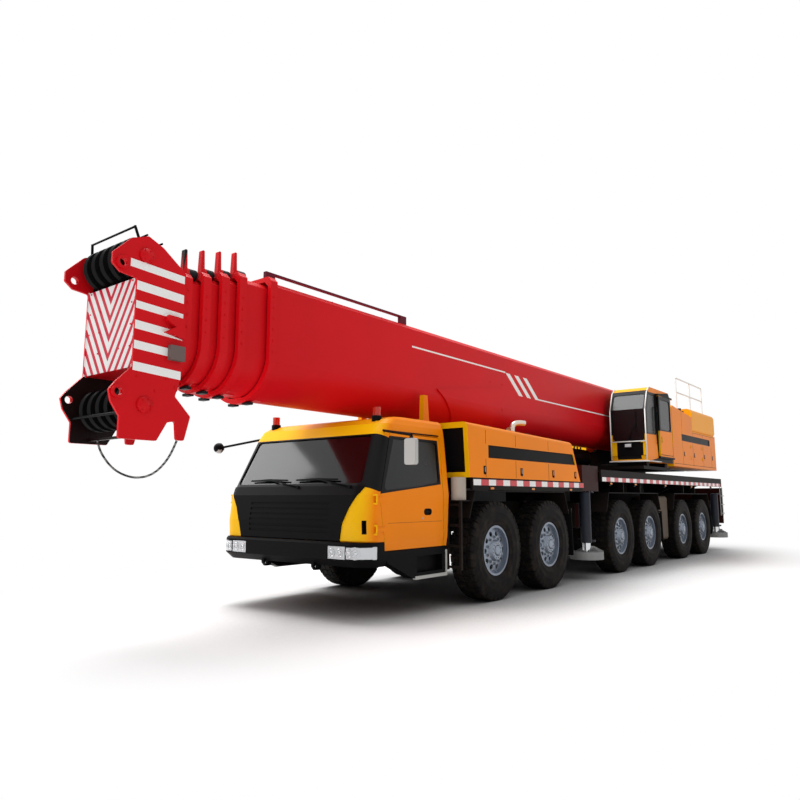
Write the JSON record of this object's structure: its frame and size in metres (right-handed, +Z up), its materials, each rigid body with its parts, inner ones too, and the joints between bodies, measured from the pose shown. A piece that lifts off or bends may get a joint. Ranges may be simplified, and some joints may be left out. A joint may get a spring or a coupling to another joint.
{
  "type": "mobile crane",
  "caption": "Heavy all-terrain mobile crane on wheels, travelling state: telescopic boom lowered over the driver's cab, slewing operator's cab, outriggers drawn in.",
  "frame": {"origin": "on the road under the middle of the crane's overall length and width, boom lowered", "axes": "+X forward along the crane, +Y to its left, +Z up"},
  "size_m": [18.235, 3.6799, 4.417],
  "materials": {
    "boom_paint": "gloss red enamel on welded steel",
    "cab_paint": "gloss orange-yellow enamel",
    "frame_paint": "satin black-brown chassis paint",
    "cast_grey": "bare casting, oily",
    "tyre_rubber": "matt tyre rubber on silver disc",
    "tinted_glass": "tinted safety glass",
    "trim_plastic": "moulded cab trim",
    "black_plastic": "black moulded plastic",
    "lamp_glass": "clear and amber lamp lenses",
    "jack_steel": "machined steel",
    "chromed_rod": "hard-chromed rod",
    "wire_rope": "greased steel wire rope"
  },
  "bodies": {
    "carrier": {"chassis_frame": "frame_paint", "axle_beams": "frame_paint", "engine_block": "cast_grey", "carrier_cab": "cab_paint", "carrier_cab_glass": "tinted_glass", "carrier_cab_interior": "trim_plastic", "front_bumper": "black_plastic", "lamps": "lamp_glass", "engine_cover": "cab_paint", "decks": "frame_paint"},
    "wheel_1_left": {"wheel_1_left": "tyre_rubber"},
    "knuckle_1_left": {"knuckle_1_left": "cast_grey"},
    "wheel_1_right": {"wheel_1_right": "tyre_rubber"},
    "knuckle_1_right": {"knuckle_1_right": "cast_grey"},
    "wheel_2_left": {"wheel_2_left": "tyre_rubber"},
    "knuckle_2_left": {"knuckle_2_left": "cast_grey"},
    "wheel_2_right": {"wheel_2_right": "tyre_rubber"},
    "knuckle_2_right": {"knuckle_2_right": "cast_grey"},
    "wheel_3_left": {"wheel_3_left": "tyre_rubber"},
    "knuckle_3_left": {"knuckle_3_left": "cast_grey"},
    "wheel_3_right": {"wheel_3_right": "tyre_rubber"},
    "knuckle_3_right": {"knuckle_3_right": "cast_grey"},
    "wheel_4_left": {"wheel_4_left": "tyre_rubber"},
    "wheel_4_right": {"wheel_4_right": "tyre_rubber"},
    "wheel_5_left": {"wheel_5_left": "tyre_rubber"},
    "knuckle_5_left": {"knuckle_5_left": "cast_grey"},
    "wheel_5_right": {"wheel_5_right": "tyre_rubber"},
    "knuckle_5_right": {"knuckle_5_right": "cast_grey"},
    "wheel_6_left": {"wheel_6_left": "tyre_rubber"},
    "knuckle_6_left": {"knuckle_6_left": "cast_grey"},
    "wheel_6_right": {"wheel_6_right": "tyre_rubber"},
    "knuckle_6_right": {"knuckle_6_right": "cast_grey"},
    "carrier_door_left": {"carrier_door_left": "cab_paint"},
    "carrier_door_right": {"carrier_door_right": "cab_paint"},
    "outrigger_beam_front_left": {"outrigger_beam_front_left": "frame_paint"},
    "outrigger_jack_front_left": {"outrigger_jack_front_left": "jack_steel"},
    "outrigger_beam_front_right": {"outrigger_beam_front_right": "frame_paint"},
    "outrigger_jack_front_right": {"outrigger_jack_front_right": "jack_steel"},
    "outrigger_beam_rear_left": {"outrigger_beam_rear_left": "frame_paint"},
    "outrigger_jack_rear_left": {"outrigger_jack_rear_left": "jack_steel"},
    "outrigger_beam_rear_right": {"outrigger_beam_rear_right": "frame_paint"},
    "outrigger_jack_rear_right": {"outrigger_jack_rear_right": "jack_steel"},
    "superstructure": {"turntable": "frame_paint", "crane_cab": "cab_paint", "crane_cab_glass": "tinted_glass", "crane_cab_interior": "trim_plastic", "machinery_house": "cab_paint", "winch": "cast_grey"},
    "crane_cab_door": {"crane_cab_door": "cab_paint"},
    "boom": {"boom_base": "boom_paint"},
    "section_1": {"boom_section_1": "boom_paint"},
    "section_2": {"boom_section_2": "boom_paint"},
    "section_3": {"boom_section_3": "boom_paint"},
    "section_4": {"boom_section_4": "boom_paint"},
    "section_5": {"boom_section_5": "boom_paint", "boom_head": "boom_paint", "head_sheaves": "black_plastic", "hoist_rope": "wire_rope"},
    "luffing_barrel": {"luffing_barrel": "boom_paint"},
    "luffing_rod": {"luffing_rod": "chromed_rod"}
  },
  "joints": [
    {"name": "steer_1_left", "type": "hinge", "parent": "carrier", "child": "knuckle_1_left", "pos_m": [3.78, 1.05, 0.685], "axis": [0, 0, 1], "range_deg": [-30, 30]},
    {"name": "roll_1_left", "type": "hinge", "parent": "knuckle_1_left", "child": "wheel_1_left", "pos_m": [3.78, 1.3075, 0.685], "axis": [0, 1, 0], "continuous": true},
    {"name": "steer_1_right", "type": "hinge", "parent": "carrier", "child": "knuckle_1_right", "pos_m": [3.78, -1.05, 0.685], "axis": [0, 0, 1], "range_deg": [-30, 30]},
    {"name": "roll_1_right", "type": "hinge", "parent": "knuckle_1_right", "child": "wheel_1_right", "pos_m": [3.78, -1.3075, 0.685], "axis": [0, 1, 0], "continuous": true},
    {"name": "steer_2_left", "type": "hinge", "parent": "carrier", "child": "knuckle_2_left", "pos_m": [2.13, 1.05, 0.685], "axis": [0, 0, 1], "range_deg": [-22.5, 22.5]},
    {"name": "roll_2_left", "type": "hinge", "parent": "knuckle_2_left", "child": "wheel_2_left", "pos_m": [2.13, 1.3075, 0.685], "axis": [0, 1, 0], "continuous": true},
    {"name": "steer_2_right", "type": "hinge", "parent": "carrier", "child": "knuckle_2_right", "pos_m": [2.13, -1.05, 0.685], "axis": [0, 0, 1], "range_deg": [-22.5, 22.5]},
    {"name": "roll_2_right", "type": "hinge", "parent": "knuckle_2_right", "child": "wheel_2_right", "pos_m": [2.13, -1.3075, 0.685], "axis": [0, 1, 0], "continuous": true},
    {"name": "steer_3_left", "type": "hinge", "parent": "carrier", "child": "knuckle_3_left", "pos_m": [-0.92, 1.05, 0.685], "axis": [0, 0, 1], "range_deg": [-8.1, 8.1]},
    {"name": "roll_3_left", "type": "hinge", "parent": "knuckle_3_left", "child": "wheel_3_left", "pos_m": [-0.92, 1.3075, 0.685], "axis": [0, 1, 0], "continuous": true},
    {"name": "steer_3_right", "type": "hinge", "parent": "carrier", "child": "knuckle_3_right", "pos_m": [-0.92, -1.05, 0.685], "axis": [0, 0, 1], "range_deg": [-8.1, 8.1]},
    {"name": "roll_3_right", "type": "hinge", "parent": "knuckle_3_right", "child": "wheel_3_right", "pos_m": [-0.92, -1.3075, 0.685], "axis": [0, 1, 0], "continuous": true},
    {"name": "roll_4_left", "type": "hinge", "parent": "carrier", "child": "wheel_4_left", "pos_m": [-2.57, 1.3075, 0.685], "axis": [0, 1, 0], "continuous": true},
    {"name": "roll_4_right", "type": "hinge", "parent": "carrier", "child": "wheel_4_right", "pos_m": [-2.57, -1.3075, 0.685], "axis": [0, 1, 0], "continuous": true},
    {"name": "steer_5_left", "type": "hinge", "parent": "carrier", "child": "knuckle_5_left", "pos_m": [-4.87, 1.05, 0.685], "axis": [0, 0, 1], "range_deg": [-12, 12]},
    {"name": "roll_5_left", "type": "hinge", "parent": "knuckle_5_left", "child": "wheel_5_left", "pos_m": [-4.87, 1.3075, 0.685], "axis": [0, 1, 0], "continuous": true},
    {"name": "steer_5_right", "type": "hinge", "parent": "carrier", "child": "knuckle_5_right", "pos_m": [-4.87, -1.05, 0.685], "axis": [0, 0, 1], "range_deg": [-12, 12]},
    {"name": "roll_5_right", "type": "hinge", "parent": "knuckle_5_right", "child": "wheel_5_right", "pos_m": [-4.87, -1.3075, 0.685], "axis": [0, 1, 0], "continuous": true},
    {"name": "steer_6_left", "type": "hinge", "parent": "carrier", "child": "knuckle_6_left", "pos_m": [-6.52, 1.05, 0.685], "axis": [0, 0, 1], "range_deg": [-20, 20]},
    {"name": "roll_6_left", "type": "hinge", "parent": "knuckle_6_left", "child": "wheel_6_left", "pos_m": [-6.52, 1.3075, 0.685], "axis": [0, 1, 0], "continuous": true},
    {"name": "steer_6_right", "type": "hinge", "parent": "carrier", "child": "knuckle_6_right", "pos_m": [-6.52, -1.05, 0.685], "axis": [0, 0, 1], "range_deg": [-20, 20]},
    {"name": "roll_6_right", "type": "hinge", "parent": "knuckle_6_right", "child": "wheel_6_right", "pos_m": [-6.52, -1.3075, 0.685], "axis": [0, 1, 0], "continuous": true},
    {"name": "open_carrier_door_left", "type": "hinge", "parent": "carrier", "child": "carrier_door_left", "pos_m": [6.2, 1.318, 1.225], "axis": [0, 0, -1], "range_deg": [0, 65]},
    {"name": "open_carrier_door_right", "type": "hinge", "parent": "carrier", "child": "carrier_door_right", "pos_m": [6.2, -1.318, 1.225], "axis": [0, 0, 1], "range_deg": [0, 65]},
    {"name": "extend_front_left", "type": "slide", "parent": "carrier", "child": "outrigger_beam_front_left", "axis": [0, 1, 0], "range_m": [0, 2.2]},
    {"name": "lower_front_left", "type": "slide", "parent": "outrigger_beam_front_left", "child": "outrigger_jack_front_left", "axis": [0, 0, -1], "range_m": [0, 0.65]},
    {"name": "extend_front_right", "type": "slide", "parent": "carrier", "child": "outrigger_beam_front_right", "axis": [0, -1, 0], "range_m": [0, 2.2]},
    {"name": "lower_front_right", "type": "slide", "parent": "outrigger_beam_front_right", "child": "outrigger_jack_front_right", "axis": [0, 0, -1], "range_m": [0, 0.65]},
    {"name": "extend_rear_left", "type": "slide", "parent": "carrier", "child": "outrigger_beam_rear_left", "axis": [0, 1, 0], "range_m": [0, 2.2]},
    {"name": "lower_rear_left", "type": "slide", "parent": "outrigger_beam_rear_left", "child": "outrigger_jack_rear_left", "axis": [0, 0, -1], "range_m": [0, 0.65]},
    {"name": "extend_rear_right", "type": "slide", "parent": "carrier", "child": "outrigger_beam_rear_right", "axis": [0, -1, 0], "range_m": [0, 2.2]},
    {"name": "lower_rear_right", "type": "slide", "parent": "outrigger_beam_rear_right", "child": "outrigger_jack_rear_right", "axis": [0, 0, -1], "range_m": [0, 0.65]},
    {"name": "slewing", "type": "hinge", "parent": "carrier", "child": "superstructure", "pos_m": [-3.82, 0, 2], "axis": [0, 0, 1], "continuous": true},
    {"name": "slide_crane_cab_door", "type": "slide", "parent": "superstructure", "child": "crane_cab_door", "axis": [-1, 0, 0], "range_m": [0, 0.75]},
    {"name": "luffing", "type": "hinge", "parent": "superstructure", "child": "boom", "pos_m": [-6.42, 0, 3.2], "axis": [0, -1, 0], "range_deg": [0, 82]},
    {"name": "cylinder_tilt", "type": "hinge", "parent": "superstructure", "child": "luffing_barrel", "pos_m": [-2.92, 0, 2.312], "axis": [0, -1, 0], "range_deg": [0, 99]},
    {"name": "cylinder_stroke", "type": "slide", "parent": "luffing_barrel", "child": "luffing_rod", "axis": [1, 0, 0.0072], "range_m": [0, 4.3]},
    {"name": "telescope_1", "type": "slide", "parent": "boom", "child": "section_1", "axis": [1, 0, 0], "range_m": [0, 11]},
    {"name": "telescope_2", "type": "slide", "parent": "section_1", "child": "section_2", "axis": [1, 0, 0], "range_m": [0, 11]},
    {"name": "telescope_3", "type": "slide", "parent": "section_2", "child": "section_3", "axis": [1, 0, 0], "range_m": [0, 11]},
    {"name": "telescope_4", "type": "slide", "parent": "section_3", "child": "section_4", "axis": [1, 0, 0], "range_m": [0, 11]},
    {"name": "telescope_5", "type": "slide", "parent": "section_4", "child": "section_5", "axis": [1, 0, 0], "range_m": [0, 11]}
  ],
  "couplings": [
    {"joint": "steer_1_right", "follows": "steer_1_left", "ratio": 1},
    {"joint": "steer_2_left", "follows": "steer_1_left", "ratio": 0.75},
    {"joint": "steer_2_right", "follows": "steer_1_left", "ratio": 0.75},
    {"joint": "steer_3_left", "follows": "steer_1_left", "ratio": 0.27},
    {"joint": "steer_3_right", "follows": "steer_1_left", "ratio": 0.27},
    {"joint": "steer_5_left", "follows": "steer_6_left", "ratio": 0.6},
    {"joint": "steer_5_right", "follows": "steer_6_left", "ratio": 0.6},
    {"joint": "steer_6_right", "follows": "steer_6_left", "ratio": 1},
    {"joint": "cylinder_tilt", "follows": "luffing", "ratio": 1.1974},
    {"joint": "cylinder_stroke", "follows": "luffing", "m_per_rad": 2.9987},
    {"joint": "telescope_2", "follows": "telescope_1", "ratio": 1},
    {"joint": "telescope_3", "follows": "telescope_1", "ratio": 1},
    {"joint": "telescope_4", "follows": "telescope_1", "ratio": 1},
    {"joint": "telescope_5", "follows": "telescope_1", "ratio": 1}
  ]
}
